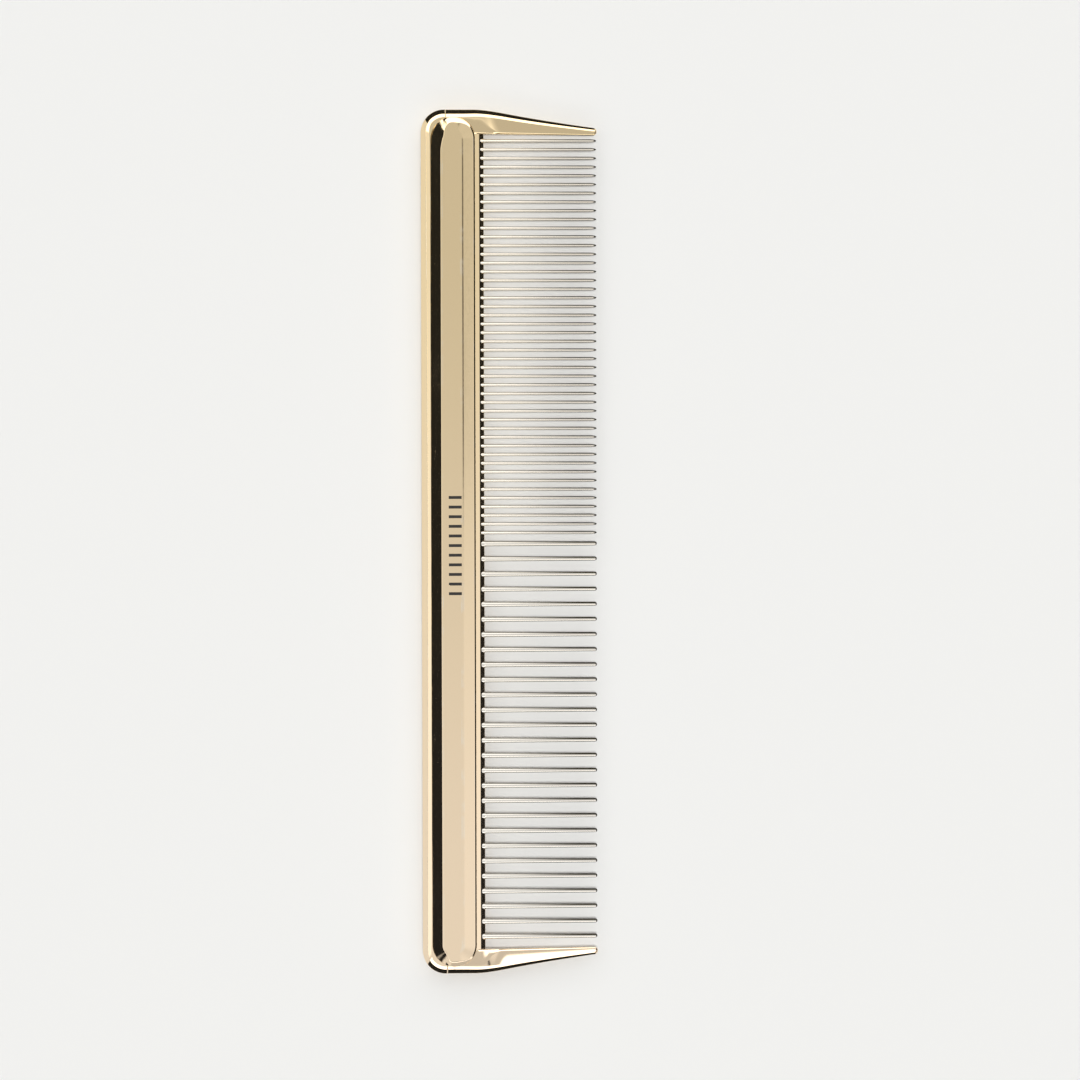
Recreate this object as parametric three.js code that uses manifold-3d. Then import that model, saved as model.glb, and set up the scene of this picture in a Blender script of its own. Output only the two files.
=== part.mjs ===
// Steel grooming comb: a drilled tooth rail with end guards, a back bar, two rib covers,
// headed coarse pins, hairpin wires that make the fine teeth, and blind dowels.
// Millimetres. Built with X from the back edge, Y along the comb and Z from its mid-plane,
// then set down so that the origin is under the middle of the comb, on the surface it lies on.
import * as THREE from 'three';
import { mergeVertices } from 'three/addons/utils/BufferGeometryUtils.js';
import Module from 'manifold-3d';

const wasm = await Module();
wasm.setup();

// Overall size
const combLength = 180;
const combWidth = 36.6;
const combHeight = 6;
const fitGap = 0.05;          // between neighbouring pieces
const reach = 50;             // how far a cutting tool runs past what it cuts

// Spine plate: the back bar and the rail's end blocks share its outline
const plateHalf = 1.75;       // half thickness of the outer flange
const plateEdge = 0.7;        // how far the rounded outer edge comes in
const plateEdgeRise = 1.3;    // how much of the thickness that rounding takes
const backCorner = 4.8;       // radius of the two back corners
const seamX = 5.1;            // front face of the back bar

// End guards
const guardInner = 84.95;     // from the middle of the comb to the root of the guard's inner side
const guardLean = 0.35;       // how far the inner side comes in, from root to tip
const guardDrop = 3.75;       // how far the outer side comes in, from corner to tip
const guardTipRadius = 0.75;
const guardRootX = 11;        // where the outer side leaves the straight end
const guardRootFillet = 0.6;
const guardTipHalf = 0.5;     // half thickness at the tip

// Tooth rail
const railBackX = 6.45;       // face that the pin heads bear on
const railHalf = 1;           // half thickness under the covers
const railBevelX = 12.1;
const railFrontX = 13.05;
const railNoseHalf = 0.12;

// Rib covers
const coverBackX = 2;
const coverFrontX = 11.2;
const coverEnd = 88.4;        // from the middle of the comb to the rounded end
const coverShoulder = 1.2;    // width of the rounded shoulder
const coverShoulderRise = 1.4;
const coverSlopeTopX = 4.1;   // the back of the rib is a plain slope up to here
const coverArcSteps = 9;

// Teeth
const tipX = 36.5;            // the guards end at combWidth, a little past the teeth
const coarse = { count: 27, firstY: -0.27, pitch: 3.155, rootRadius: 0.55, tipRadius: 0.45, sides: 10 };
const fine = { pairs: 23, firstY: 83.55, pitch: 1.812, radius: 0.33, sides: 8 };
const ovalRise = 1.6;         // the fine wire is oval: its height over its width
const bend = { radius: 0.3, sides: 6, steps: 6 };
const headRadius = 0.9;
const tipTaper = 1.1;         // length of a fine tooth's pointed end

// Dowels
const dowelRadius = 0.6;
const dowelHalf = 1.95;       // half length
const barDowelX = 3.95;
const endDowel = { x: 6.6, y: 86.4 };
const barDowelYs = [-45, 0, 45];

const steel = (color, roughness) => new THREE.MeshStandardMaterial({ color, roughness, metalness: 1 });
const finishes = {
  frame: steel(0xdcc8a2, 0.14),
  cover: steel(0xe4d2ae, 0.1),
  tooth: steel(0xe6dcc6, 0.16),
  inside: steel(0xb4b6b8, 0.35),
};

// Booleans

function toSolid(geometry) {
  const bare = geometry.clone();
  bare.deleteAttribute('normal');
  bare.deleteAttribute('uv');
  const merged = mergeVertices(bare, 1e-4);
  const vertProperties = Float32Array.from(merged.attributes.position.array);
  const triVerts = Uint32Array.from(merged.index.array);
  return new wasm.Manifold(new wasm.Mesh({ numProp: 3, vertProperties, triVerts }));
}

function toGeometry(solid) {
  const mesh = solid.getMesh();
  const geometry = new THREE.BufferGeometry();
  geometry.setAttribute('position', new THREE.BufferAttribute(mesh.vertProperties, 3));
  geometry.setIndex(new THREE.BufferAttribute(mesh.triVerts, 1));
  geometry.computeVertexNormals();
  return geometry;
}

// A box from its lowest corner to its highest
function block(low, high) {
  const [dx, dy, dz] = high.map((value, i) => value - low[i]);
  const box = new THREE.BoxGeometry(dx, dy, dz);
  box.translate(low[0] + dx / 2, low[1] + dy / 2, low[2] + dz / 2);
  return toSolid(box);
}

// An X-Z section carried along Y, from -halfLength to +halfLength
function bar(points, halfLength) {
  const section = new THREE.Shape(points.map(([x, z]) => new THREE.Vector2(x, z)));
  const geometry = new THREE.ExtrudeGeometry(section, { depth: 2 * halfLength, bevelEnabled: false });
  geometry.rotateX(Math.PI / 2);
  geometry.translate(0, halfLength, 0);
  return toSolid(geometry);
}

// An X-Y outline with both rims rounded to a quarter ellipse, centred on the mid-plane
function roundedPlate(outline, half, edge, rise, curveSegments) {
  const geometry = new THREE.ExtrudeGeometry(outline, {
    depth: 2 * (half - rise),
    bevelEnabled: true,
    bevelThickness: rise,
    bevelSize: edge,
    bevelOffset: -edge,
    bevelSegments: 3,
    curveSegments,
  });
  geometry.translate(0, 0, -(half - rise));
  return toSolid(geometry);
}

// A round or oval tool along X
function roundAlongX(radius, fromX, toX, y, sides, rise = 1) {
  const geometry = new THREE.CylinderGeometry(radius, radius, toX - fromX, sides);
  geometry.rotateZ(-Math.PI / 2);
  geometry.scale(1, 1, rise);
  geometry.translate((fromX + toX) / 2, y, 0);
  return toSolid(geometry);
}

function roundAlongZ(radius, half, x, y) {
  const geometry = new THREE.CylinderGeometry(radius, radius, 2 * half, 12);
  geometry.rotateX(Math.PI / 2);
  geometry.translate(x, y, 0);
  return toSolid(geometry);
}

// Spine plate

// A guard's outer side is straight past the corner, then a soft shoulder, then a long shallow run
// to the tip. The path goes round the back of the comb, out along one guard and back along the other.
function plateOutline() {
  const end = combLength / 2;
  const outerY = end - guardDrop;
  const innerY = guardInner - guardLean;
  const roundX = combWidth - guardTipRadius;
  const shoulder = { fromX: 13.25, x: 17.5, drop: 0.81 };
  const waist = { x: 25, drop: 2.24 };
  const shape = new THREE.Shape();
  shape.moveTo(backCorner, end);
  shape.absarc(backCorner, end - backCorner, backCorner, Math.PI / 2, Math.PI, false);
  shape.absarc(backCorner, backCorner - end, backCorner, Math.PI, 1.5 * Math.PI, false);
  shape.lineTo(guardRootX, -end);
  shape.quadraticCurveTo(shoulder.fromX, -end, shoulder.x, shoulder.drop - end);
  shape.quadraticCurveTo(waist.x, waist.drop - end, roundX, -outerY);
  shape.absarc(roundX, guardTipRadius - outerY, guardTipRadius, -Math.PI / 2, 0, false);
  shape.absarc(roundX, -innerY - guardTipRadius, guardTipRadius, 0, Math.PI / 2, false);
  shape.lineTo(railFrontX + guardRootFillet, -guardInner);
  shape.lineTo(railFrontX, guardRootFillet - guardInner);
  shape.lineTo(railFrontX, guardInner - guardRootFillet);
  shape.lineTo(railFrontX + guardRootFillet, guardInner);
  shape.lineTo(roundX, innerY);
  shape.absarc(roundX, innerY + guardTipRadius, guardTipRadius, -Math.PI / 2, 0, false);
  shape.absarc(roundX, outerY - guardTipRadius, guardTipRadius, 0, Math.PI / 2, false);
  shape.quadraticCurveTo(waist.x, end - waist.drop, shoulder.x, end - shoulder.drop);
  shape.quadraticCurveTo(shoulder.fromX, end, guardRootX, end);
  shape.closePath();
  return shape;
}

function makePlate() {
  const plate = roundedPlate(plateOutline(), plateHalf, plateEdge, plateEdgeRise, 5);
  const slope = [[guardRootX, plateHalf], [combWidth, guardTipHalf], [reach, guardTipHalf], [reach, reach]];
  slope.push([guardRootX, reach]);
  const taper = bar(slope, combLength).add(bar(mirrored(slope), combLength));
  return plate.subtract(taper).subtract(coverRecess());
}

// The same X-Z outline on the far side of the mid-plane
function mirrored(points) {
  return points.map(([x, z]) => [x, -z]).reverse();
}

// Rib covers

function coverOutline(grow) {
  const radius = (coverFrontX - coverBackX) / 2;
  const middleX = coverBackX + radius;
  const shape = new THREE.Shape();
  shape.absarc(middleX, coverEnd - radius, radius + grow, 0, Math.PI, false);
  shape.absarc(middleX, radius - coverEnd, radius + grow, Math.PI, 2 * Math.PI, false);
  shape.closePath();
  return shape;
}

// The shallow recess that both covers sit in, with the flat strip beside their front edges
function coverRecess() {
  const options = { depth: reach, bevelEnabled: false, curveSegments: coverArcSteps };
  const front = new THREE.ExtrudeGeometry(coverOutline(fitGap), options);
  front.translate(0, 0, railHalf);
  const rear = new THREE.ExtrudeGeometry(coverOutline(fitGap), options);
  rear.translate(0, 0, -railHalf - reach);
  return toSolid(front).add(toSolid(rear));
}

function makeCover(side) {
  const seat = railHalf + fitGap / 2;
  const half = combHeight / 2;
  const whole = roundedPlate(coverOutline(0), half, coverShoulder, coverShoulderRise, coverArcSteps);
  const [low, high] = side > 0 ? [seat, reach] : [-reach, -seat];
  const slope = [[coverBackX - reach, plateHalf], [coverBackX, plateHalf], [coverSlopeTopX, half]];
  slope.push([coverSlopeTopX, reach], [coverBackX - reach, reach]);
  const backSlope = bar(side > 0 ? slope : mirrored(slope), combLength);
  const cover = whole.intersect(block([-reach, -combLength, low], [reach, combLength, high]));
  return cover.subtract(backSlope).subtract(dowels(dowelRadius + fitGap, dowelHalf + fitGap));
}

// Dowels

function dowelPlaces() {
  const ends = [1, -1].map((side) => [endDowel.x, side * endDowel.y]);
  return [...ends, ...barDowelYs.map((y) => [barDowelX, y])];
}

function dowels(radius, half) {
  const all = dowelPlaces().map(([x, y]) => roundAlongZ(radius, half, x, y));
  return all.reduce((sum, next) => sum.add(next));
}

// Back bar: the flange along the back with both corners

function makeBackBar() {
  const behind = block([-reach, -combLength, -reach], [seamX, combLength, reach]);
  return makePlate().intersect(behind).subtract(dowels(dowelRadius + fitGap, reach));
}

// Tooth rail: a V-fronted strip between two end blocks, drilled right through for the teeth

function makeRail() {
  const strip = [[railBackX, -railHalf], [railBevelX, -railHalf], [railFrontX, -railNoseHalf]];
  strip.push([railFrontX, railNoseHalf], [railBevelX, railHalf], [railBackX, railHalf]);
  const body = bar(strip, guardInner + fitGap);
  const ahead = (lowY, highY) => block([seamX + fitGap, lowY, -reach], [reach, highY, reach]);
  const plate = makePlate();
  const fineEnd = plate.intersect(ahead(guardInner - guardRootFillet, combLength));
  const coarseEnd = plate.intersect(ahead(-combLength, guardRootFillet - guardInner));
  const whole = body.add(fineEnd).add(coarseEnd);
  return whole.subtract(toothHoles()).subtract(dowels(dowelRadius + fitGap, reach));
}

function toothHoles() {
  const holes = [];
  const depth = [railBackX - 1, railFrontX + 1];
  for (let i = 0; i < coarse.count; i += 1) {
    holes.push(roundAlongX(coarse.rootRadius + fitGap, ...depth, coarseY(i), coarse.sides));
  }
  for (let i = 0; i < 2 * fine.pairs; i += 1) {
    holes.push(roundAlongX(fine.radius + fitGap, ...depth, fineY(i), fine.sides, ovalRise));
  }
  return holes.reduce((sum, next) => sum.add(next));
}

// Teeth

function coarseY(i) {
  return coarse.firstY - i * coarse.pitch;
}

function fineY(i) {
  return fine.firstY - i * fine.pitch;
}

// A turned profile of [distance along X, radius] pairs about the tooth's own axis
function turned(profile, y, sides, rise = 1) {
  const points = profile.map(([x, radius]) => new THREE.Vector2(radius, x));
  const geometry = new THREE.LatheGeometry(points, sides);
  geometry.rotateZ(-Math.PI / 2);
  geometry.scale(1, 1, rise);
  geometry.translate(0, y, 0);
  return toSolid(geometry);
}

function makeCoarsePin(i) {
  const { rootRadius, tipRadius, sides } = coarse;
  const headBackX = seamX + 2 * fitGap;
  const headFrontX = railBackX - fitGap;
  const profile = [[headBackX, 0], [headBackX, headRadius], [headFrontX, headRadius]];
  profile.push([headFrontX, rootRadius], [railFrontX + 1, rootRadius], [tipX - tipRadius, tipRadius]);
  profile.push([tipX - 0.3 * tipRadius, 0.7 * tipRadius], [tipX, 0]);
  return turned(profile, coarseY(i), sides);
}

// Two fine teeth and the half-round bend that joins them behind the rail
function makeFinePair(i) {
  const { radius, sides, pitch } = fine;
  const startX = railBackX - 2 * fitGap;
  const profile = [[startX, 0], [startX, radius], [tipX - tipTaper, radius]];
  profile.push([tipX - 0.2, 0.4 * radius], [tipX, 0]);
  const ys = [fineY(2 * i), fineY(2 * i + 1)];
  const legs = ys.map((y) => turned(profile, y, sides, ovalRise));
  const middleY = (ys[0] + ys[1]) / 2;
  const centreX = railBackX - fitGap;
  const arc = new THREE.CatmullRomCurve3(bendPoints(centreX, middleY, pitch / 2));
  const wire = new THREE.Shape().absarc(0, 0, bend.radius, 0, 2 * Math.PI, false);
  const options = { steps: bend.steps, extrudePath: arc, bevelEnabled: false };
  const tube = new THREE.ExtrudeGeometry(wire, { ...options, curveSegments: bend.sides / 2 });
  tube.scale(1, 1, ovalRise);
  return legs[0].add(legs[1]).add(toSolid(tube));
}

function bendPoints(centreX, middleY, radius) {
  return Array.from({ length: bend.steps + 1 }, (_, k) => {
    const turn = (k / bend.steps) * Math.PI;
    const y = middleY + radius * Math.cos(turn);
    return new THREE.Vector3(centreX - radius * Math.sin(turn), y, 0);
  });
}

// Assembly

const comb = new THREE.Group();
comb.position.set(-combWidth / 2, 0, combHeight / 2);

function place(name, solid, finish) {
  const mesh = new THREE.Mesh(toGeometry(solid), finish.clone());
  mesh.name = name;
  comb.add(mesh);
}

const numbered = (name, i) => `${name}_${String(i + 1).padStart(2, '0')}`;

place('tooth_rail', makeRail(), finishes.frame);
place('back_bar', makeBackBar(), finishes.frame);
place('front_cover', makeCover(1), finishes.cover);
place('rear_cover', makeCover(-1), finishes.cover);
for (let i = 0; i < coarse.count; i += 1) {
  place(numbered('coarse_pin', i), makeCoarsePin(i), finishes.tooth);
}
for (let i = 0; i < fine.pairs; i += 1) {
  place(numbered('fine_wire', i), makeFinePair(i), finishes.tooth);
}
dowelPlaces().forEach(([x, y], i) => {
  place(numbered('cover_dowel', i), roundAlongZ(dowelRadius, dowelHalf, x, y), finishes.inside);
});

const part = new THREE.Group();
part.add(comb);

export default part;
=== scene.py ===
import math

import bmesh
import bpy
import numpy as np
from mathutils import Euler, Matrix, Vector


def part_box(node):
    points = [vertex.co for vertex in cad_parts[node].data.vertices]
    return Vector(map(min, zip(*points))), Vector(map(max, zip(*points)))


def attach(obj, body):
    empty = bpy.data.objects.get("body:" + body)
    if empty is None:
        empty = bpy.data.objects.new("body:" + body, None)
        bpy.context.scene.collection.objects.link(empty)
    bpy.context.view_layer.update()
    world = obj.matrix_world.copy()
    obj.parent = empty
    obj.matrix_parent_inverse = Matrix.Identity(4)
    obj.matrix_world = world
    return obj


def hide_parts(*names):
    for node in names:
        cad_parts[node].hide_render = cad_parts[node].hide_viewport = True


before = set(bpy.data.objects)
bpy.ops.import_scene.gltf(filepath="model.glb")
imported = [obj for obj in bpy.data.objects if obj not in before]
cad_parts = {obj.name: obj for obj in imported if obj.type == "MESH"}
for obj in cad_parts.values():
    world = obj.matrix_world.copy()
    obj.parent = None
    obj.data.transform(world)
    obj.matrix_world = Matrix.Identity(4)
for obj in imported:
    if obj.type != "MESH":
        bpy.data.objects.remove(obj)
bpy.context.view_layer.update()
print("frame loaded:", len(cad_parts), "nodes")

mm = 0.001
barLow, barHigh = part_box("back_bar")
coverLow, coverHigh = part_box("front_cover")
backX = barLow.x
midZ = (barLow.z + barHigh.z) / 2
endY = barHigh.y / mm  # from the middle of the comb to its straight end
seamX = (barHigh.x - backX) / mm
tipX = (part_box("tooth_rail")[1].x - backX) / mm


def place(points):
    # the comb's own millimetres (X from its back, Z from its mid-plane) to the row frame in metres
    return np.asarray(points, float) * mm + np.array([backX, 0.0, midZ])


cameraSet = {
    "distance": 1.0,
    "lens": 159.4,
    "turn": (1.6, 2.45, 0.19),  # degrees about X, Y and Z
    "aim": (6.467, 0.406),  # millimetres across and along the comb
    "clip": (0.05, 20),
}


def makeCamera(values):
    # the comb is turned by three small angles in front of a camera that looks straight down
    data = bpy.data.cameras.new("camera")
    data.lens = values["lens"]
    data.clip_start, data.clip_end = values["clip"]
    camera = bpy.data.objects.new("camera", data)
    bpy.context.scene.collection.objects.link(camera)
    turn = Euler([math.radians(a) for a in values["turn"]], "XYZ").to_matrix()
    aimX, aimY = values["aim"]
    camera.location = turn.transposed() @ Vector((aimX * mm, aimY * mm, values["distance"]))
    camera.rotation_mode = "QUATERNION"
    camera.rotation_quaternion = turn.transposed().to_quaternion()
    bpy.context.scene.camera = camera


makeCamera(cameraSet)


nearlyStraight = 1.5707  # half the angle at a corner that hardly turns
weld, sliver = 2e-7, 1e-8  # metres: closer points are merged, and shorter edges are taken out


def roundCorners(points, radii, steps=6, pad=0.03):
    # points (..., corners, 2) is a polyline. Each inner corner gets an arc that touches both its sides:
    # the arc starts radius / tan(half the corner) along each side, and its centre lies on the bisector.
    # A point pad further along each side keeps the flats flat. Also gives a mask that is 1 on the arcs.
    points = np.asarray(points, float)
    radii = np.broadcast_to(np.asarray(radii, float), points.shape[:-2] + (points.shape[-2] - 2,))
    t = np.linspace(0, 1, steps + 1)[:, None]
    parts, mask = [points[..., :1, :]], [0.0]
    for k in range(1, points.shape[-2] - 1):
        corner = points[..., k, :]
        radius = radii[..., k - 1, None]
        if not radius.any():
            parts.append(corner[..., None, :])
            mask.append(0.0)
            continue
        u, v = points[..., k - 1, :] - corner, points[..., k + 1, :] - corner
        u = u / np.linalg.norm(u, axis=-1, keepdims=True)
        v = v / np.linalg.norm(v, axis=-1, keepdims=True)
        half = np.arccos(np.clip((u * v).sum(-1, keepdims=True), -1, 1)) / 2
        half = np.minimum(half, nearlyStraight)
        back = radius / np.tan(half)
        bisector = u + v + 1e-9 * u[..., ::-1] * np.array([1, -1])
        bisector = bisector / np.linalg.norm(bisector, axis=-1, keepdims=True)
        centre = corner + bisector * radius / np.sin(half)
        a, b = corner + u * back - centre, corner + v * back - centre
        sweep = np.maximum(np.pi - 2 * half, 1e-5)[..., None, :]
        arc = np.sin((1 - t) * sweep) * a[..., None, :] + np.sin(t * sweep) * b[..., None, :]
        arc = centre[..., None, :] + arc / np.sin(sweep)
        first, last = corner + u * (back + pad), corner + v * (back + pad)
        parts += [first[..., None, :], arc, last[..., None, :]]
        mask += [0.0] + [1.0] * (steps + 1) + [0.0]
    parts.append(points[..., -1:, :])
    mask.append(0.0)
    return np.concatenate(parts, axis=-2), np.array(mask)


def gridFaces(rows, columns, start=0, closedRows=False, closedColumns=True):
    # quads between neighbouring points of a grid, with its last row or column joined to its first
    index = start + np.arange(rows * columns).reshape(rows, columns)
    if closedRows:
        index = np.vstack([index, index[:1]])
    if closedColumns:
        index = np.hstack([index, index[:, :1]])
    quads = [index[:-1, :-1], index[:-1, 1:], index[1:, 1:], index[1:, :-1]]
    return np.stack(quads, -1).reshape(-1, 4).tolist()


def makePiece(name, grids, masks, capped=True, closedRows=False, closedColumns=True):
    # grids is a list of (rows, columns, 3) arrays in metres, one for each closed shell of the piece, and
    # masks holds a value for every point: rubbed edges on the frame and covers, painted shade (dark
    # reflection lines) on the teeth's flanks and tips
    points, faces, start = [], [], 0
    for grid in grids:
        rows, columns = grid.shape[:2]
        faces += gridFaces(rows, columns, start, closedRows, closedColumns)
        if capped:
            first = start + np.arange(columns)
            faces += [first[::-1].tolist(), (first + (rows - 1) * columns).tolist()]
        points.append(grid.reshape(-1, 3))
        start += rows * columns
    mesh = bpy.data.meshes.new(name)
    mesh.from_pydata(np.vstack(points).tolist(), [], faces)
    # this attribute holds the rubbed-edge wear on the frame and covers, and the painted shade on the teeth's
    # flanks and tips
    wear = mesh.attributes.new("edgeWearAndFlankShade", "FLOAT", "POINT")
    wear.data.foreach_set("value", np.concatenate(masks))
    bm = bmesh.new()
    bm.from_mesh(mesh)
    bmesh.ops.remove_doubles(bm, verts=bm.verts, dist=weld)
    bmesh.ops.dissolve_degenerate(bm, edges=bm.edges, dist=sliver)
    bmesh.ops.recalc_face_normals(bm, faces=bm.faces)
    bm.to_mesh(mesh)
    bm.free()
    mesh.polygons.foreach_set("use_smooth", np.ones(len(mesh.polygons), bool))
    piece = bpy.data.objects.new(name, mesh)
    bpy.context.scene.collection.objects.link(piece)
    return piece


def finishPiece(piece, node, material):
    piece.data.materials.append(material)
    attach(piece, "root")
    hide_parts(node)


def bothSides(half):
    # a half section that starts and ends on the mid-plane, joined to its own mirror image below
    mirror = half[..., -2:0:-1, :] * np.array([1.0, 1.0, -1.0])
    return np.concatenate([half, mirror], axis=-2)


def bothMasks(mask):
    return np.concatenate([mask, mask[-2:0:-1]])


ribBackX, ribFrontX = (coverLow.x - backX) / mm, (coverHigh.x - backX) / mm
ribRadius = (ribFrontX - ribBackX) / 2
ribMidX = ribBackX + ribRadius
ribArcY = coverHigh.y / mm - ribRadius
coverGap = 0.015  # the covers are a close fit in their recess
recessRadius = ribRadius + coverGap

spine = {
    "cornerRadius": 4.8,
    "plateHalf": 1.75,
    "floorHalf": 1.0,  # recess floor that the covers stand on
    # outer edge sections as (distance in from the edge, height): the back is a steep wall that ends in a
    # crease below a slightly tilted strip, the two ends have a low wall, a broad chamfer and a sloping rim
    "wallBack": [(2.2, 1.75), (1.22, 1.6), (0.64, 0.86), (0.04, 0.1), (0, 0)],
    "wallEnd": [(1.6, 1.75), (0.95, 1.42), (0.475, 1.05), (0, 0.68), (0, 0)],
    "wallRadii": [0.05, 0.05, 0.14, 0.7, 0.12],
    "wallTurn": (0.1, 0.75),  # where round the corner one section turns into the other, as a cosine
    "landMin": 0.03,  # least flat left between the wall and the recess
    "cornerSteps": 40,
    "backSteps": 60,
}


def easeBetween(x, low, high):
    # 3tt - 2ttt of the share t of the way from low to high
    t = np.clip((x - low) / (high - low), 0, 1)
    return t * t * (3 - 2 * t)


def blend(a, b, weight):
    # a where the weight is 0, b where it is 1
    return a * (1 - weight) + b * weight


def backBarGrid():
    # stations run from the seam at one end round the back to the seam at the other end; at each one the
    # section goes from the front face over the recess floor and the flange down to the outer mid-plane
    r = spine["cornerRadius"]
    u = np.linspace(0, 1, spine["cornerSteps"])
    along = u * (seamX - r + r * np.pi / 2)
    turned = np.clip((along - (seamX - r)) / r, 0, np.pi / 2)
    outer = np.stack([r - r * np.sin(turned), endY - r + r * np.cos(turned)], -1)
    outer[:, 0] += np.clip(seamX - r - along, 0, None)
    startAngle = np.arccos((seamX - ribMidX) / recessRadius)
    angle = blend(startAngle, np.pi, u)
    inner = np.stack([ribMidX + recessRadius * np.cos(angle), ribArcY + recessRadius * np.sin(angle)], -1)
    straight = np.linspace(1, -1, spine["backSteps"])[1:-1, None]
    backEdge = straight * np.array([[0.0, endY - r]])
    recessEdge = straight * np.array([[0.0, ribArcY]]) + np.array([[ribMidX - recessRadius, 0]])
    flip = np.array([1.0, -1.0])
    outer = np.vstack([outer, backEdge, outer[::-1] * flip])
    inner = np.vstack([inner, recessEdge, inner[::-1] * flip])
    turned = np.concatenate([turned, np.full(len(backEdge), np.pi / 2), turned[::-1]])
    endShare = easeBetween(np.cos(turned), *spine["wallTurn"])[:, None, None]
    span = np.linalg.norm(inner - outer, axis=1)
    floorEdge = np.stack([span, np.full_like(span, spine["floorHalf"])], -1)
    topEdge = np.stack([span, np.full_like(span, spine["plateHalf"])], -1)
    lip = np.stack([floorEdge, topEdge], axis=1)
    wall = blend(np.array(spine["wallBack"])[None], np.array(spine["wallEnd"])[None], endShare)
    wall[:, 0, 0] = np.minimum(wall[:, 0, 0], span - spine["landMin"])
    profile, mask = roundCorners(np.concatenate([lip, wall], axis=1), spine["wallRadii"])
    inward = (inner - outer) / span[:, None]
    flat = outer[:, None, :] + inward[:, None, :] * profile[..., :1]
    half = np.concatenate([flat, profile[..., 1:]], axis=-1)
    seam = np.stack([np.full_like(span, seamX), inner[:, 1], np.full_like(span, spine["floorHalf"])], -1)
    seamMid = seam * np.array([1.0, 1.0, 0.0])
    half = np.concatenate([seamMid[:, None], seam[:, None], half], axis=1)
    mask = np.concatenate([[0.0, 0.0], mask])
    loop = bothSides(half)
    return place(loop), np.tile(bothMasks(mask), len(loop))


rail = {
    "backX": 6.45,
    "stripX": 11.2,
    "bevelX": 12.1,
    "bevelHalf": 0.875,  # the strip beside the rib falls a little towards the teeth
    "frontX": 13.05,
    "noseHalf": 0.12,
    "cornerRadii": [0.05, 0.4, 0.12, 0.1],
    "blockY": 84.95,  # where the end blocks and guards begin
    "endStep": 0.02,  # a last narrow row of faces, so that the end's shading doesn't spread over the strip
    "steps": 90,
}
guard = {
    "shoulder": [(11.0, 0.0), (13.25, 0.0), (17.5, 0.81)],  # outer edge: X and how far it has come in
    "run": [(17.5, 0.81), (25.0, 2.24), (35.85, 3.75)],
    "recessPast": 0.2,  # the recess beside the rib ends this far in front of it
    "innerLean": 0.35,  # how much the inner edge comes out towards the tip
    "leanLength": 23.5,
    "taperX": 9.0,  # from here the guard gets lower and narrower to its tip
    "tipShare": 0.55,  # what is left at the tip of the ramp, the bevel and the radii
    "rampLength": (3.3, 0.6),  # rise from the rail to the top of the block at the root, and further along
    "rampCurve": (1.1, 2),  # 1 is a straight ramp, 2 a hollow one, at the root and further along
    "rampFade": 16.5,  # X where the root's ramp has become the guard's
    "footLead": 0.3,
    "foot": 0.95,  # height of the inner edge at the root
    "bevelDrop": 0.42,  # and how far it lies below the face further along
    "tilt": 0.34,  # the guard's face falls towards the teeth, for each millimetre of width
    "tiltSpan": (-1, 4.95),  # from the rail's nose, where that tilt begins and is complete
    "tipRadius": 0.8,
    "tipHalf": 0.55,
    "wallMin": 0.08,  # least height of the outer wall, and least widths of the ramp and the face
    "rampMin": 0.02,
    "faceMin": 0.01,
    "chamfer": (0.95, 0.42),  # width at the root and at the tip
    "rim": (0.65, 0.3),
    "chamferDrop": 0.78,  # for each millimetre of width
    "rimDrop": 0.51,
    "radii": (0.05, 0.22, 0.2),  # at the rim's edge, the chamfer's edge and the top of the wall
    "seamGap": 0.03,
    "stations": ((10.2, 44), (13.9, 90), (19, 40)),  # X where each stretch ends, and its sections
    "lastSections": 60,
    "rampSteps": 9,
    "tipSteps": 14,
    "tipPinch": 0.999,  # keeps the last ring of the tip from closing to a point
}


def bezierY(points, x):
    # height at x of a quadratic curve through its first and last points, solved for its parameter
    (x0, y0), (x1, y1), (x2, y2) = points
    a, b = x0 - 2 * x1 + x2, 2 * (x1 - x0)
    x = np.clip(x, x0, x2)
    t = 2 * (x - x0) / (b + np.sqrt(b * b + 4 * a * (x - x0)))
    return (1 - t) ** 2 * y0 + 2 * t * (1 - t) * y1 + t * t * y2


def guardOuter(x):
    # the comb's end less the shoulder's curve, and past the shoulder less the run's
    drop = np.where(x < guard["run"][0][0], bezierY(guard["shoulder"], x), bezierY(guard["run"], x))
    return endY - drop


def guardInner(x):
    # the recess beside the rib, then the end of the rail, then the inner edge of the guard
    recess = ribArcY + np.sqrt(np.clip(recessRadius**2 - (x - ribMidX) ** 2, 0, None))
    lean = guard["innerLean"] * np.clip((x - rail["frontX"]) / (tipX - rail["frontX"]), 0, 1)
    return np.maximum(np.where(x < ribFrontX + guard["recessPast"], recess, 0), rail["blockY"] - lean)


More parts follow.
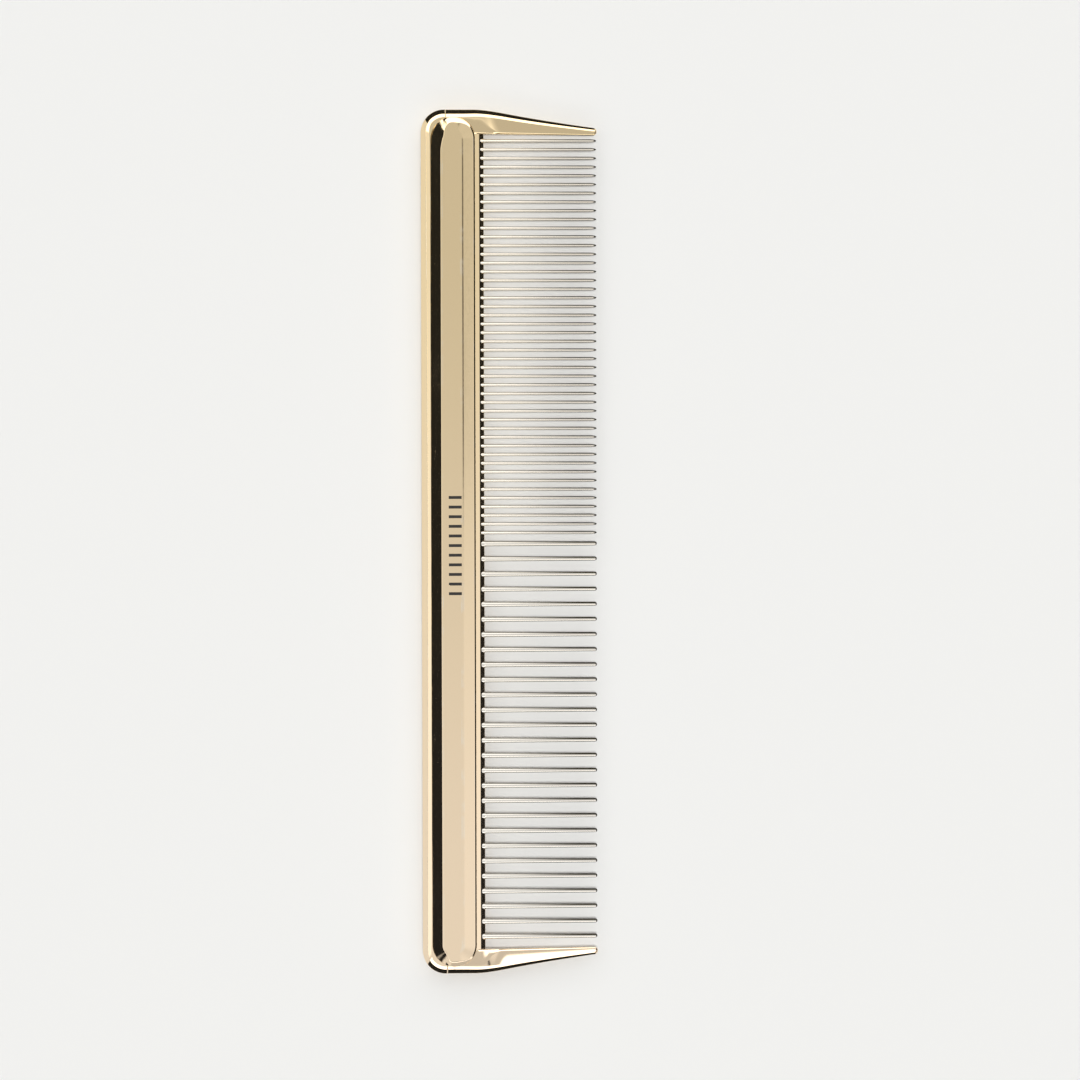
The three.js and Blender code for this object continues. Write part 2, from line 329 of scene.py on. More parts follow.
def guardSections(x):
    # half sections (distance in from the outer edge, height): rail level, a curved rise to the face, the
    # face, a sloping rim, a broad chamfer and the outer wall
    outer, inner = guardOuter(x), guardInner(x)
    atTeeth = easeBetween(x, rail["stripX"] - guard["footLead"], rail["bevelX"])
    along = easeBetween(x, rail["bevelX"], guard["rampFade"])
    start = rail["blockY"] - guard["innerLean"] * np.clip((x - rail["frontX"]) / guard["leanLength"], 0, 1)
    taper = np.clip((x - guard["taperX"]) / (tipX - guard["taperX"]), 0, 1)
    shrink = blend(1.0, guard["tipShare"], taper)
    chamfer = blend(*guard["chamfer"], taper)
    rim = blend(*guard["rim"], taper)
    rampEnd = np.minimum(start + blend(*guard["rampLength"], along) * shrink, outer - chamfer - rim)
    rampEnd = np.maximum(rampEnd, inner + guard["rampMin"])
    levels = [spine["floorHalf"], rail["bevelHalf"], rail["noseHalf"]]
    floor = np.interp(x, [rail["stripX"], rail["bevelX"], rail["frontX"]], levels)
    rimEdge = np.minimum(chamfer + rim, outer - rampEnd - guard["faceMin"])
    face = np.clip(outer - rampEnd - rimEdge, guard["faceMin"], None)
    top = blend(spine["plateHalf"], guard["tipHalf"], taper)
    tiltFrom, tiltTo = (rail["frontX"] + v for v in guard["tiltSpan"])
    low = top - guard["tilt"] * easeBetween(x, tiltFrom, tiltTo) * face
    foot = blend(floor, blend(guard["foot"], low - guard["bevelDrop"] * shrink, along), atTeeth)
    rimDrop, chamferDrop = guard["rimDrop"] * rim, guard["chamferDrop"] * chamfer
    wall = np.maximum(top - rimDrop - chamferDrop, guard["wallMin"])
    zero = np.zeros_like(x)
    first = np.maximum(start, inner)
    rise = first + (rampEnd - first) * np.linspace(0, 1, guard["rampSteps"])[:, None]
    left = np.clip(1 - (rise - start) / (rampEnd - start), 0, 1)
    riseZ = low - (low - foot) * left ** blend(*guard["rampCurve"], along)
    corners = [(outer - inner, zero), (outer - inner, floor), (outer - first, np.minimum(floor, riseZ[0]))]
    corners += list(zip(outer - rise, riseZ))
    corners += [(rimEdge, top), (chamfer, top - rimDrop), (zero, wall), (zero, zero)]
    radii = np.zeros((len(x), len(corners) - 2))
    radii[:, -3:] = shrink[:, None] * np.array(guard["radii"])
    return roundCorners(np.moveaxis(np.array(corners), -1, 0), radii, pad=0.015)


def guardGrid(side):
    # sections across the guard at stations along X, then a rounded tip where the last one shrinks away
    lastX = tipX - guard["tipRadius"]
    startX, parts = seamX + guard["seamGap"], []
    for stopX, sections in (*guard["stations"], (lastX, guard["lastSections"])):
        parts.append(np.linspace(startX, stopX, sections, endpoint=False))
        startX = stopX
    x = np.append(np.concatenate(parts), lastX)
    profile, mask = guardSections(x)
    y = guardOuter(x)[:, None] - profile[..., 0]
    half = np.stack([np.broadcast_to(x[:, None], y.shape), y, profile[..., 1]], -1)
    turn = np.linspace(0, np.pi / 2, guard["tipSteps"])[1:]
    middle = (half[-1, 0] + half[-1, -1]) / 2 * np.array([0, 1, 0])
    narrowing = np.stack([0 * turn, np.cos(turn), np.cos(turn)], -1)[:, None, :]
    tip = middle + (half[-1] - middle) * narrowing * guard["tipPinch"]
    tip[..., 0] = (lastX + guard["tipRadius"] * np.sin(turn))[:, None]
    loop = bothSides(np.concatenate([half, tip]))
    return place(loop * np.array([1.0, side, 1.0])), np.tile(bothMasks(mask), len(loop))


def railStripGrid():
    # the V-fronted strip that the teeth stand in, one section drawn along Y between the end blocks
    corners = [(rail["backX"], 0), (rail["backX"], spine["floorHalf"]), (rail["stripX"], spine["floorHalf"])]
    corners += [(rail["bevelX"], rail["bevelHalf"]), (rail["frontX"], rail["noseHalf"]), (rail["frontX"], 0)]
    profile, mask = roundCorners(corners, rail["cornerRadii"])
    y = np.linspace(rail["endStep"] - rail["blockY"], rail["blockY"] - rail["endStep"], rail["steps"])
    y = np.concatenate([[-rail["blockY"]], y, [rail["blockY"]]])
    half = np.stack(np.broadcast_arrays(profile[None, :, 0], y[:, None], profile[None, :, 1]), -1)
    loop = bothSides(half)
    return place(loop), np.tile(bothMasks(mask), len(loop))


seat, crown = 1.02, 3.0  # heights of a cover's underside, just above the recess floor, and of its top
coverShape = {
    # (distance in from the outline, height) for the side that faces the back, the front and the ends
    "back": [(0, seat), (0, 1.72), (1.2, 2.437), (2.08, 2.965), (2.4, 2.9995), (ribRadius, crown)],
    "front": [(0, seat), (0, 2.5), (0.03, 2.595), (0.34, 2.76), (2.8, 2.996), (ribRadius, crown)],
    "end": [(0, seat), (0, 2.3), (0.1, 2.437), (1.075, crown), (2.3, crown), (ribRadius, crown)],
    "backRadii": [0.06, 0.12, 0.12, 1.5],
    "frontRadii": [0.08, 0.08, 0.3, 8.0],
    "endRadii": [0.05, 0.1, 0.6, 1.0],
    "backTurn": (0.15, 0.8),  # where round the arc the back and front sections take over, as a cosine
    "frontTurn": (0.2, 0.9),
    "bulge": 0.5,  # the back slope widens this much where it turns into the fine end
    "bulgeSpan": (2.5, 4.8),  # before and after the start of the arc
    "bulgeDrop": 0.3,  # and its foot drops this much there, which keeps the slope's angle
    "arcSteps": 81,
    "runSteps": 50,
    "denseShare": 0.96,  # past this share of the straight run the stations lie closer
    "denseSteps": 14,
}


def coverGrid(side):
    # stations run round the D-ended outline; at each one the section goes in from the outline to the
    # middle line, and its shape is a mix of the back, front and end sections by the way it faces
    arc = np.linspace(0, np.pi, coverShape["arcSteps"])
    denseShare = coverShape["denseShare"]
    dense = np.linspace(1, denseShare, coverShape["denseSteps"])[1:]
    sparse = np.linspace(denseShare, -denseShare, coverShape["runSteps"])[1:-1]
    run = np.concatenate([dense, sparse, -dense[::-1]])
    facing = np.concatenate([arc, np.full(len(run), np.pi), arc + np.pi, np.full(len(run), 2 * np.pi)])
    middleY = np.concatenate([np.ones(len(arc)), run, -np.ones(len(arc)), -run]) * ribArcY
    backShare = easeBetween(-np.cos(facing), *coverShape["backTurn"])
    frontShare = easeBetween(np.cos(facing), *coverShape["frontTurn"])
    shares = np.stack([backShare, frontShare, 1 - backShare - frontShare], -1)
    sections = np.array([coverShape[k] for k in ("back", "front", "end")])
    radii = shares @ np.array([coverShape[k + "Radii"] for k in ("back", "front", "end")])
    section = np.einsum("sk,kpc->spc", shares, sections)
    before, after = coverShape["bulgeSpan"]
    beyond = np.abs(middleY) - ribArcY + ribRadius * np.arccos(np.clip(-np.cos(facing), -1, 1))
    bulge = np.sin(np.pi * np.clip((beyond + before) / (before + after), 0, 1)) ** 2
    bulge = bulge * (np.cos(facing) < 0) * (middleY > 0)
    section[:, 3:5, 0] += bulge[:, None] * coverShape["bulge"]
    section[:, 2, 0] += bulge * coverShape["bulge"] / 2
    section[:, 1, 1] -= bulge * coverShape["bulgeDrop"]
    section[:, 2, 1] -= bulge * coverShape["bulgeDrop"] / 2
    profile, mask = roundCorners(section, radii, pad=0.02)
    under = np.broadcast_to(np.array([[[ribRadius, seat]]]), (len(facing), 1, 2))
    profile = np.concatenate([under, profile], axis=1)
    mask = np.concatenate([[0.0], mask])
    heading = np.stack([np.cos(facing), np.sin(facing)], -1)[:, None, :]
    out = (ribRadius - profile[..., 0])[..., None] * heading
    x = ribMidX + out[..., 0]
    y = middleY[:, None] + out[..., 1]
    return place(np.stack([x, y, side * profile[..., 1]], -1)), np.tile(mask, len(facing))


tooth = {
    "rootSpan": (0.9, 1.2),  # behind and in front of the rail's nose, where the rings lie closer
    "shaftStart": 2,  # from the nose to the first ring of the shaft
    "flareLength": 0.16,  # the fillet dies away by a factor e in this length
    "flareReach": 1.5,
    "flankFade": (1, 2),  # the painted shade on the flanks grows darker from this far past the nose to this far short of the tip
    "pole": 1e-4,  # radius of the last ring at a closed end
}
coarsePin = {
    "rootRadius": 0.55,
    "tipRadius": 0.44,
    "headRadius": 0.9,
    "headLength": 1.1,
    "flare": 0.12,  # solder fillet where the tooth leaves the rail
    "sides": 32,
    "rootRings": 14,
    "shaftRings": 12,
    "tipRings": 9,
    # shares of the radius between which the flank towards the fine end, and the other one, get the painted
    # shade
    "upperFlank": (0.0, 0.35),
    "lowerFlank": (0.6, 0.85),
    "lowerShare": 0.7,
    "rootShare": 0.5,
    "cap": (0.34, 0.2),  # distances from the tip between which the tooth is painted dark all round
}
fineWire = {
    "half": 0.33,
    "rise": 1.6,  # height of the oval for a width of 1
    "taper": 1.3,
    "tipCurve": 2.2,  # 2 is an elliptic tip, more is blunter
    "tipSpread": 1.6,
    "shaftEnd": 3,
    "flare": 0.1,
    "sides": 24,
    "rootRings": 12,
    "shaftRings": 8,
    "tipRings": 12,
    "bendRings": 17,
    "upperFlank": (-0.2, 0.5),
    "lowerFlank": (0.45, 0.9),
    "lowerShare": 0.4,
    "rootShare": 0.25,
    "cap": (0.9, 0.3),
}


def flareAt(x, size):
    # a fillet that dies away exponentially in front of the rail's nose
    ahead = x - rail["frontX"]
    return size * np.exp(-np.clip(ahead, 0, None) / tooth["flareLength"]) * (ahead < tooth["flareReach"])


def flankMask(x, across, endX, values):
    # how much painted shade (a painted dark reflection line) each point gets: across is 1 on the flank that
    # faces the fine end and -1 on the other one, whose line is thinner and paler. Both grow darker along the
    # tooth, and the tip is painted dark all round.
    upper = easeBetween(across, *values["upperFlank"])
    lower = easeBetween(-across, *values["lowerFlank"]) * values["lowerShare"]
    along = easeBetween(x, rail["frontX"] + tooth["flankFade"][0], endX - tooth["flankFade"][1])
    flank = np.maximum(upper, lower) * blend(values["rootShare"], 1.0, along)[:, None]
    cap = easeBetween(x, endX - values["cap"][0], endX - values["cap"][1])[:, None]
    return np.maximum(flank, cap * np.ones_like(flank))


def coarsePinGrid(low, high):
    # a headed pin turned about its own axis: radius against distance along X
    y = (low.y + high.y) / 2 / mm
    startX, endX = (low.x - backX) / mm, (high.x - backX) / mm
    c, noseX = coarsePin, rail["frontX"]
    headX = startX + c["headLength"]
    behind, ahead = tooth["rootSpan"]
    root = np.linspace(noseX - behind, noseX + ahead, c["rootRings"])
    shaft = np.linspace(noseX + tooth["shaftStart"], endX - c["tipRadius"], c["shaftRings"])
    shaft = np.concatenate([[headX], root, shaft])
    slim = easeBetween(shaft, noseX, endX)
    radius = blend(c["rootRadius"], c["tipRadius"], slim) + flareAt(shaft, c["flare"])
    turn = np.linspace(0, np.pi / 2, c["tipRings"])[1:]
    tipStart = endX - c["tipRadius"]
    x = np.concatenate([[startX, startX, headX], shaft, tipStart + c["tipRadius"] * np.sin(turn)])
    head = [tooth["pole"], c["headRadius"], c["headRadius"]]
    r = np.concatenate([head, radius, radius[-1] * np.cos(turn) + tooth["pole"]])
    angle = np.linspace(0, 2 * np.pi, c["sides"], endpoint=False)
    ring = np.stack([np.zeros_like(angle), np.cos(angle), np.sin(angle)], -1)
    middle = np.stack([x, np.full_like(x, y), np.zeros_like(x)], -1)
    grid = ring[None] * r[:, None, None] + middle[:, None, :]
    return place(grid), flankMask(x, np.cos(angle), endX, c).ravel()


def fineWireGrid(low, high):
    # an oval section carried from the tip of one tooth to the rail, round a half circle behind it, and out
    # to the tip of the next. Its size falls to nothing at both tips as the edge of an ellipse does.
    c, noseX = fineWire, rail["frontX"]
    endX = (high.x - backX) / mm
    ys = [high.y / mm - c["half"], low.y / mm + c["half"]]
    bendRadius = (ys[0] - ys[1]) / 2
    bendX = (low.x - backX) / mm + bendRadius + c["half"]
    tip = endX - c["taper"] * np.linspace(0, 1, c["tipRings"]) ** c["tipSpread"]
    shaft = np.linspace(endX - c["shaftEnd"], noseX + tooth["shaftStart"], c["shaftRings"])
    behind, ahead = tooth["rootSpan"]
    root = np.linspace(noseX + ahead, noseX - behind, c["rootRings"])
    legX = np.concatenate([tip, shaft, root, [bendX]])
    reach = np.clip((endX - legX) / c["taper"], 0, 1)
    size = c["half"] * np.sqrt(1 - (1 - reach) ** c["tipCurve"]) + flareAt(legX, c["flare"]) + tooth["pole"]
    turn = np.linspace(0, np.pi, c["bendRings"])[1:-1]
    middleY = sum(ys) / 2
    x = np.concatenate([legX, bendX - bendRadius * np.sin(turn), legX[::-1]])
    y = middleY + bendRadius * np.cos(turn)
    y = np.concatenate([np.full_like(legX, ys[0]), y, np.full_like(legX, ys[1])])
    width = np.concatenate([size, np.full_like(turn, c["half"]), size[::-1]])
    heading = np.concatenate([np.zeros_like(legX), turn, np.full_like(legX, np.pi)])
    across = np.stack([-np.sin(heading), np.cos(heading), np.zeros_like(heading)], -1)
    angle = np.linspace(0, 2 * np.pi, c["sides"], endpoint=False)
    flat = across[:, None, :] * np.cos(angle)[None, :, None]
    up = np.array([0, 0, 1.0]) * np.sin(angle)[None, :, None] * c["rise"]
    middle = np.stack([x, y, np.zeros_like(x)], -1)
    grid = (flat + up) * width[:, None, None] + middle[:, None, :]
    facing = across[:, 1:2] * np.cos(angle)[None]
    return place(grid), flankMask(x, facing, endX, c).ravel()


def addNode(tree, kind, settings=None, **sockets):
    # a node with its settings, each socket linked or given a value. A socket is named with underscores for
    # its spaces, or by its number after an i.
    node = tree.nodes.new("ShaderNode" + kind)
    for name, value in (settings or {}).items():
        setattr(node, name, value)
    for name, value in sockets.items():
        numbered = name[0] == "i" and name[1:].isdigit()
        socket = node.inputs[int(name[1:]) if numbered else name.replace("_", " ")]
        if isinstance(value, bpy.types.NodeSocket):
            tree.links.new(value, socket)
        else:
            socket.default_value = value
    return node


def calc(tree, operation, *values):
    # the output of one Math node
    named = {"i" + str(k): value for k, value in enumerate(values)}
    return addNode(tree, "Math", {"operation": operation}, **named).outputs[0]


def ease(tree, value, low, high, fromValue=0.0, toValue=1.0):
    # as easeBetween, from one value to another
    ends = {"From_Min": low, "From_Max": high, "To_Min": fromValue, "To_Max": toValue}
    smooth = {"interpolation_type": "SMOOTHSTEP"}
    return addNode(tree, "MapRange", smooth, Value=value, **ends).outputs["Result"]


def product(tree, first, *others):
    for other in others:
        first = calc(tree, "MULTIPLY", first, other)
    return first


def mixColors(tree, weight, first, second):
    return addNode(tree, "Mix", {"data_type": "RGBA"}, i0=weight, i6=first, i7=second).outputs[2]


def edgeMask(tree):
    # reads the rubbed-edge wear on the frame and covers, and the painted flank shade on the teeth
    return addNode(tree, "Attribute", {"attribute_name": "edgeWearAndFlankShade"}).outputs["Fac"]


def noise(tree, spot, scale, detail=3.0, stretch=(1, 1, 1)):
    scaled = addNode(tree, "Mapping", Vector=spot, Scale=stretch).outputs[0]
    return addNode(tree, "TexNoise", Vector=scaled, Scale=scale, Detail=detail).outputs["Fac"]


def newGroup(name, inputs, outputs):
    tree = bpy.data.node_groups.new(name, "ShaderNodeTree")
    for label, kind, value in inputs:
        socket = tree.interface.new_socket(label, in_out="INPUT", socket_type="NodeSocket" + kind)
        if value is not None:
            socket.default_value = value
    for label, kind in outputs:
        tree.interface.new_socket(label, in_out="OUTPUT", socket_type="NodeSocket" + kind)
    return tree, tree.nodes.new("NodeGroupInput").outputs, tree.nodes.new("NodeGroupOutput").inputs


polishSet = {
    # scales are in noise cells for each metre, ranges are the noise values between which a mark appears
    "hairScale": (9000, 130, 9000),
    "hairRange": (0.66, 0.74),
    "patchScale": 140,  # the hairlines come in patches
    "patchRange": (0.45, 0.65),
    "smudgeScale": 75,
    "smudgeRange": (0.5, 0.75),
    "grainScale": 2600,
    "rippleScale": 420,
    "hairRough": 0.16,
    "smudgeRough": 0.05,
    "grainRough": 0.06,
    "rippleHeight": 0.35,
    "hairDepth": 0.25,
}


def makePolishGroup(values):
    # the marks of buffing and handling: long hairlines, soft smudges and a faint ripple of the plating
    inputs = [("Place", "Vector", None), ("Hairlines", "Float", 0.5), ("Smudges", "Float", 0.5)]
    tree, given, out = newGroup("polishMarks", inputs, [("Roughness", "Float"), ("Height", "Float")])
    spot = given["Place"]
    fine = ease(tree, noise(tree, spot, 1.0, 2.0, values["hairScale"]), *values["hairRange"])
    patch = ease(tree, noise(tree, spot, values["patchScale"], 2.0), *values["patchRange"])
    hairs = product(tree, fine, patch, given["Hairlines"])
    smudge = ease(tree, noise(tree, spot, values["smudgeScale"], 4.0), *values["smudgeRange"])
    smudge = product(tree, smudge, given["Smudges"], values["smudgeRough"])
    grain = product(tree, noise(tree, spot, values["grainScale"], 1.0), values["grainRough"])
    rough = calc(tree, "ADD", product(tree, hairs, values["hairRough"]), smudge)
    tree.links.new(calc(tree, "ADD", rough, grain), out["Roughness"])
    ripple = product(tree, noise(tree, spot, values["rippleScale"], 1.0), values["rippleHeight"])
    tree.links.new(calc(tree, "SUBTRACT", ripple, product(tree, hairs, values["hairDepth"])), out["Height"])
    return tree


toneSet = {
    "gold": (0.9, 0.714, 0.435, 1),
    "rose": (0.9, 0.73, 0.534, 1),
    "worn": (0.9, 0.82, 0.68, 1),
    "turn": (0.07, -0.08),  # Y in metres between which the gold turns rose
    "patchScale": 30,
    "patchShare": 0.2,
    "wearScale": 260,
    "wearRange": (0.48, 0.7),
}


def makeToneGroup(values):
    # plating colour: yellower at one end of the comb, rosier at the other, thin and silvery on the edges
    inputs = [("Place", "Vector", None), ("Wear", "Float", 0.4)]
    inputs += [(name.title(), "Color", values[name]) for name in ("gold", "rose", "worn")]
    tree, given, out = newGroup("platingTone", inputs, [("Color", "Color"), ("Worn", "Float")])
    spot = given["Place"]
    y = addNode(tree, "SeparateXYZ", None, Vector=spot).outputs[1]
    patch = product(tree, noise(tree, spot, values["patchScale"]), values["patchShare"])
    along = calc(tree, "ADD", ease(tree, y, *values["turn"]), patch)
    along = calc(tree, "SUBTRACT", along, values["patchShare"] / 2)
    base = mixColors(tree, along, given["Gold"], given["Rose"])
    thin = ease(tree, noise(tree, spot, values["wearScale"], 4.0), *values["wearRange"])
    rubbed = product(tree, edgeMask(tree), thin, given["Wear"])
    tree.links.new(mixColors(tree, rubbed, base, given["Worn"]), out["Color"])
    tree.links.new(rubbed, out["Worn"])
    return tree


markSet = {
    "centre": (6.9, -0.55),
    "length": 20.8,
    "width": 2.7,
    "pitch": 2.0,
    "bar": 0.62,
    "blur": 0.02,  # half the width of a printed edge
    "ink": (0.012, 0.01, 0.008, 1),
    "inkRough": 0.4,
}


def makeMarkGroup(values):
    # a plain printed scale on the rib: short bars across it, evenly spaced along it, on the upper face only
    tree, given, out = newGroup("printedScale", [("Place", "Vector", None)], [("Ink", "Float")])
    x, y, z = addNode(tree, "SeparateXYZ", None, Vector=given["Place"]).outputs
    centreX, centreY = (v * mm for v in values["centre"])

    def insideOf(distance, size):
        # 1 where a distance from a middle line is less than half the size
        start, stop = (size / 2 - values["blur"]) * mm, (size / 2 + values["blur"]) * mm
        return ease(tree, distance, start, stop, 1, 0)

    beside = calc(tree, "ABSOLUTE", calc(tree, "SUBTRACT", x, centreX + backX))
    along = calc(tree, "SUBTRACT", y, centreY)
    wave = calc(tree, "PINGPONG", along, values["pitch"] / 2 * mm)
    ink = product(tree, insideOf(wave, values["bar"]), insideOf(beside, values["width"]))
    ink = product(tree, ink, insideOf(calc(tree, "ABSOLUTE", along), values["length"]))
    tree.links.new(product(tree, ink, calc(tree, "GREATER_THAN", z, midZ)), out["Ink"])
    return tree


polishGroup = makePolishGroup(polishSet)
toneGroup = makeToneGroup(toneSet)
markGroup = makeMarkGroup(markSet)


def addGroup(tree, group, **sockets):
    return addNode(tree, "Group", {"node_tree": group}, **sockets).outputs


frameSet = {
    "gold": toneSet["gold"],
    "rose": toneSet["rose"],
    "roughness": 0.03,
    "hairlines": 0.5,
    "smudges": 0.6,
    "wear": 0.5,
    "wornRough": 0.12,
    "bump": 0.25,
    "bumpDepth": 0.02 * mm,
}
coverSet = frameSet | {"roughness": 0.025, "smudges": 0.5, "bump": 0.18}
toothSet = frameSet | {
    "gold": (0.93, 0.87, 0.76, 1),
    "rose": (0.97, 0.93, 0.86, 1),
    "paintedFlankShade": (0.025, 0.018, 0.009, 1),  # painted shade: the dark reflection lines on the tooth flanks and tips, where the tooth masks are 1
    "hairlines": 0.3,
    "wear": 0,
}


def makePlating(name, values, marked=False):
    # mirror-bright plated metal, with the shared tone and polish marks on object coordinates
    material = bpy.data.materials.new(name)
    material.use_nodes = True
    tree = material.node_tree
    shader = tree.nodes["Principled BSDF"]
    spot = addNode(tree, "TexCoord").outputs["Object"]
    marks = {name.title(): values[name] for name in ("hairlines", "smudges")}
    polish = addGroup(tree, polishGroup, Place=spot, **marks)
    tones = {name.title(): values[name] for name in ("gold", "rose", "wear")}
    tone = addGroup(tree, toneGroup, Place=spot, **tones)
    rough = calc(tree, "ADD", polish["Roughness"], values["roughness"])
    rough = calc(tree, "ADD", rough, product(tree, tone["Worn"], values["wornRough"]))
    color = tone["Color"]
    shader.inputs["Metallic"].default_value = 1
    # painted shade: the dark reflection lines on the teeth's flanks and tips are mixed into the base colour
    if "paintedFlankShade" in values:
        color = mixColors(tree, edgeMask(tree), color, values["paintedFlankShade"])
    if marked:
        ink = addGroup(tree, markGroup, Place=spot)["Ink"]
        color = mixColors(tree, ink, color, markSet["ink"])
        rough = addNode(tree, "Mix", None, i0=ink, i2=rough, i3=markSet["inkRough"]).outputs[0]
        tree.links.new(calc(tree, "SUBTRACT", 1.0, ink), shader.inputs["Metallic"])
    tree.links.new(color, shader.inputs["Base Color"])
    tree.links.new(rough, shader.inputs["Roughness"])
    depth = {"Strength": values["bump"], "Distance": values["bumpDepth"]}
    bump = addNode(tree, "Bump", None, Height=polish["Height"], **depth)
    tree.links.new(bump.outputs[0], shader.inputs["Normal"])
    return material


frameGold = makePlating("frameGold", frameSet)
coverGold = makePlating("coverGold", coverSet, marked=True)
toothGold = makePlating("toothGold", toothSet)


dowelSet = {
    "dark": (0.42, 0.42, 0.43, 1),
    "pale": (0.6, 0.6, 0.61, 1),
    "ringScale": (300, 300, 9000),
    "ringRange": (0.3, 0.7),
    "roughness": (0.25, 0.38),
}


def makeDowelSteel(values):
    # ground steel rod: rings round it and a little roughness from the grinding
    material = bpy.data.materials.new("dowelSteel")
    material.use_nodes = True
    tree = material.node_tree
    shader = tree.nodes["Principled BSDF"]
    spot = addNode(tree, "TexCoord").outputs["Object"]
    rings = noise(tree, spot, 1.0, 2.0, values["ringScale"])
    tree.links.new(mixColors(tree, rings, values["dark"], values["pale"]), shader.inputs["Base Color"])
    rough = ease(tree, rings, *values["ringRange"], *values["roughness"])
    tree.links.new(rough, shader.inputs["Roughness"])
    shader.inputs["Metallic"].default_value = 1
    return material


bareSteel = makeDowelSteel(dowelSet)
print("materials made")

grid, edgeWearAndFlankShade = backBarGrid()
finishPiece(makePiece("backBar", [grid], [edgeWearAndFlankShade]), "back_bar", frameGold)

grids, edges = zip(railStripGrid(), guardGrid(1), guardGrid(-1))
finishPiece(makePiece("toothRail", grids, edges), "tooth_rail", frameGold)

for name, node, side in (("frontCover", "front_cover", 1), ("rearCover", "rear_cover", -1)):
    grid, edgeWearAndFlankShade = coverGrid(side)
    piece = makePiece(name, [grid], [edgeWearAndFlankShade], capped=False, closedRows=True, closedColumns=False)
    finishPiece(piece, node, coverGold)

for node in sorted(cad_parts):
    if node.startswith("coarse_pin"):
        grid, paintedFlankShade = coarsePinGrid(*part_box(node))
        piece = makePiece("coarsePin" + node[-2:], [grid], [paintedFlankShade])
        finishPiece(piece, node, toothGold)
    if node.startswith("fine_wire"):
        grid, paintedFlankShade = fineWireGrid(*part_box(node))
        piece = makePiece("fineWire" + node[-2:], [grid], [paintedFlankShade])
        finishPiece(piece, node, toothGold)
    if node.startswith("cover_dowel"):
        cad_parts[node].data.materials.clear()
        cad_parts[node].data.materials.append(bareSteel)
print("pieces made")

floorSet = {"size": 3.0, "color": (0.9, 0.9, 0.885), "roughness": 0.9, "specular": 0.1}
# The tent is set by direction, a unit vector with x towards the teeth, y towards the fine end and z up. A
# pair named for a place is where a soft edge starts and is complete, on the way up or on the way down.
lightSet = {
    "color": (1, 0.995, 0.985, 1),
    "overhead": (0.86, 0.65),  # the sheet above the coarse end and above the fine end
    "overheadTurn": (-0.12, 0.06),
    "backLift": 0.5,  # how much brighter the sheet is towards the comb's back
    "backLiftX": (-0.12, -0.4),
    "backLiftZ": (0.7, 0.85),
    "frontLift": 0.35,  # and towards the teeth, halfway along the comb
    "frontLiftX": (0.1, 0.4),
    "frontLiftY": (0.22, 0.12),
    "low": 0.68,  # how dim the sheet gets towards the coarse end
    "lowY": (-0.14, -0.34),
    "lowX": (-0.35, -0.15),
    "bank": 2.3,  # strength of the two banks
    "farBank": (0.34, 0.42),  # past the fine end
    "farBankLean": 0.6,
    "nearBankFoot": (0.52, 0.56),  # past the coarse end
    "nearBankLean": 0.12,
    "nearBankTop": (0.66, 0.62),
    "nearBankY": (-0.12, -0.22),
    "horizon": (0.23, 0.27),  # nothing shines below this height
    "horizonLean": 0.05,  # which is a little more past the fine end
    "sideWall": (0.7, 0.62),  # the tent ends at dark walls beside the comb
    "wallFoot": (0.38, 0.32),  # under which it is open
    "backTop": (0.55, 0.59),  # the wall behind the comb's back ends below this height
    "backTopX": (0.0, -0.2),
    "gapX": 0.175,  # a thin dark gap between two sheets
    "gapWidth": (0.045, 0.02),
    "gapDepth": 0.8,
    "gapZ": (0.95, 0.97),
    "gapStart": (-0.025, -0.01),
    "gapEnd": (0.065, 0.055),
    "dark": 0.018,  # what is left where nothing shines
    "onFloor": 0.35,  # share of the tent's light that falls on the floor
    "backdrop": 0.84,  # what the camera sees past the floor's edge
    "lamp": 1.45,
    "lampAngle": 8,
}


def makeFloor(values):
    half = values["size"] / 2
    mesh = bpy.data.meshes.new("floor")
    corners = [(-half, -half, 0), (half, -half, 0), (half, half, 0), (-half, half, 0)]
    mesh.from_pydata(corners, [], [(0, 1, 2, 3)])
    floor = bpy.data.objects.new("floor", mesh)
    bpy.context.scene.collection.objects.link(floor)
    material = bpy.data.materials.new("floorPaint")
    material.use_nodes = True
    shader = material.node_tree.nodes["Principled BSDF"]
    shader.inputs["Base Color"].default_value = (*values["color"], 1)
    shader.inputs["Roughness"].default_value = values["roughness"]
    shader.inputs["Specular IOR Level"].default_value = values["specular"]
    mesh.materials.append(material)


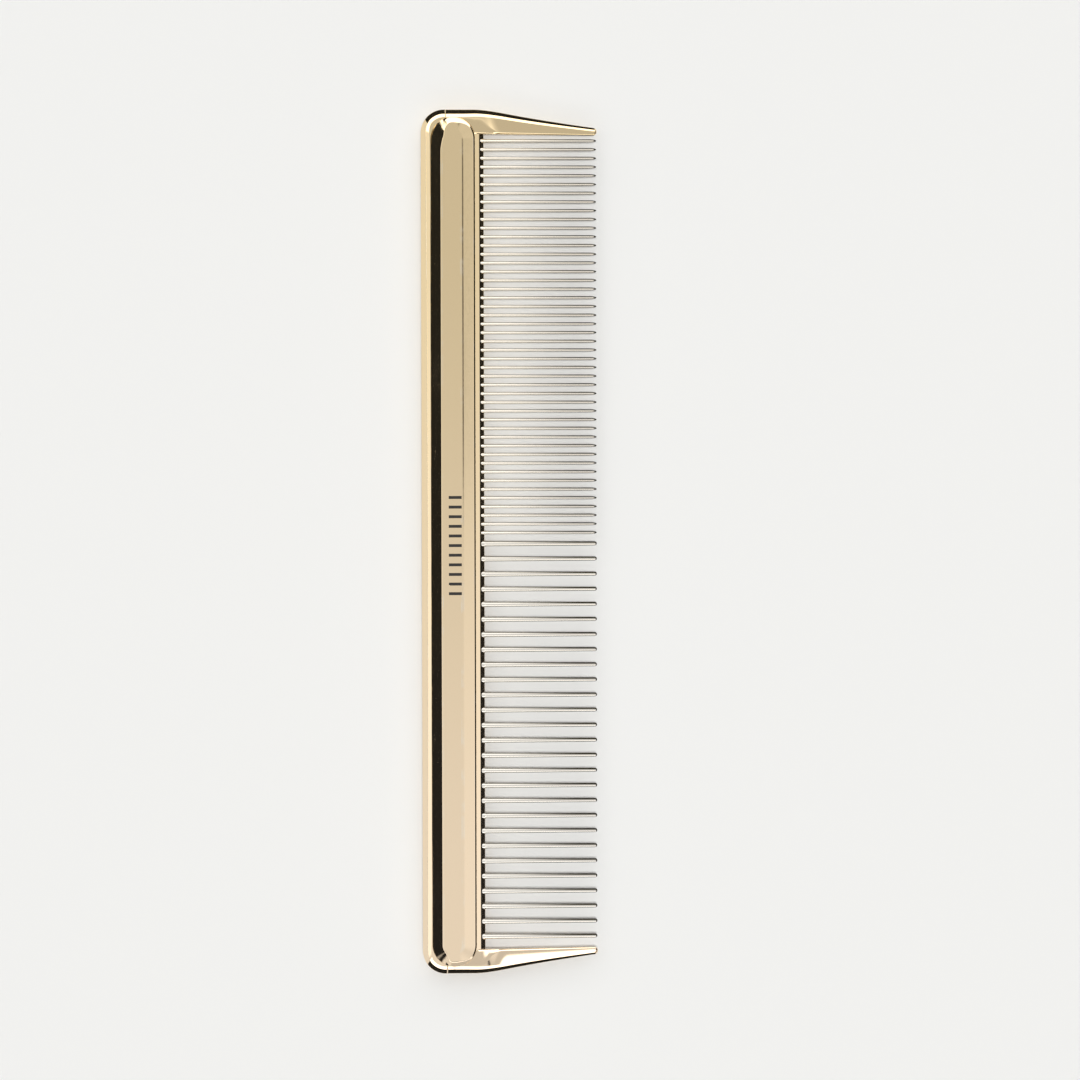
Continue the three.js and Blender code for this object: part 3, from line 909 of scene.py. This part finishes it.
def makeWorld(values):
    # a light tent for the plating to reflect: a soft overhead sheet, a brighter bank past each end, dark
    # walls beside the comb, a thin dark gap in the sheet and a dark strip above the table's edge
    world = bpy.data.worlds.new("lightTent")
    bpy.context.scene.world = world
    world.use_nodes = True
    tree = world.node_tree
    direction = tree.nodes.new("ShaderNodeTexCoord").outputs["Generated"]
    x, y, z = addNode(tree, "SeparateXYZ", None, Vector=direction).outputs
    sideways, endways = calc(tree, "ABSOLUTE", x), calc(tree, "ABSOLUTE", y)

    def within(value, name):
        # 0 before the named pair of places and 1 after it, whichever of the two is larger
        low, high = values[name]
        return ease(tree, value, low, high) if low < high else ease(tree, value, high, low, 1, 0)

    def lifted(weight, amount):
        return calc(tree, "MULTIPLY_ADD", weight, amount, 1.0)

    overBack = product(tree, within(z, "backTop"), within(x, "backTopX"))
    inside = calc(tree, "MAXIMUM", overBack, within(z, "wallFoot"))
    inside = calc(tree, "MAXIMUM", within(sideways, "sideWall"), inside)
    above = within(calc(tree, "MULTIPLY_ADD", y, -values["horizonLean"], z), "horizon")
    backLift = product(tree, within(x, "backLiftX"), within(z, "backLiftZ"))
    frontLift = product(tree, within(x, "frontLiftX"), within(endways, "frontLiftY"))
    dim = product(tree, within(y, "lowY"), within(x, "lowX"))
    sheet = ease(tree, y, *values["overheadTurn"], *values["overhead"])
    lifts = lifted(backLift, values["backLift"]), lifted(frontLift, values["frontLift"])
    sheet = product(tree, sheet, *lifts, lifted(dim, values["low"] - 1))
    behind = calc(tree, "MINIMUM", x, 0.0)
    farBank = within(calc(tree, "MULTIPLY_ADD", behind, -values["farBankLean"], y), "farBank")
    nearBank = within(calc(tree, "MULTIPLY_ADD", y, -values["nearBankLean"], z), "nearBankFoot")
    nearBank = product(tree, nearBank, within(z, "nearBankTop"), within(y, "nearBankY"))
    banks = calc(tree, "ADD", farBank, nearBank)
    level = addNode(tree, "Mix", None, i0=banks, i2=sheet, i3=values["bank"]).outputs[0]
    gap = within(calc(tree, "ABSOLUTE", calc(tree, "SUBTRACT", x, values["gapX"])), "gapWidth")
    gap = product(tree, gap, within(z, "gapZ"), within(y, "gapStart"), within(y, "gapEnd"))
    strength = product(tree, inside, lifted(gap, -values["gapDepth"]), above, level)
    strength = calc(tree, "ADD", strength, values["dark"])
    # the floor takes a share of this light, and the camera itself sees an even backdrop
    path = tree.nodes.new("ShaderNodeLightPath").outputs
    strength = product(tree, strength, lifted(path["Is Diffuse Ray"], values["onFloor"] - 1))
    strength = product(tree, strength, calc(tree, "SUBTRACT", 1.0, path["Is Camera Ray"]))
    strength = calc(tree, "MULTIPLY_ADD", path["Is Camera Ray"], values["backdrop"], strength)
    background = tree.nodes["Background"]
    background.inputs["Color"].default_value = values["color"]
    tree.links.new(strength, background.inputs["Strength"])


def makeLamp(values):
    # a wide soft sun straight above, for the floor and the shadow, which the plating doesn't reflect
    data = bpy.data.lights.new("ceiling", "SUN")
    data.energy = values["lamp"]
    data.angle = math.radians(values["lampAngle"])
    lamp = bpy.data.objects.new("ceiling", data)
    lamp.location = (0, 0, 1)
    lamp.visible_glossy = False
    bpy.context.scene.collection.objects.link(lamp)


makeFloor(floorSet)
makeWorld(lightSet)
makeLamp(lightSet)
bpy.context.scene.view_settings.view_transform = "Standard"
print("stage made")
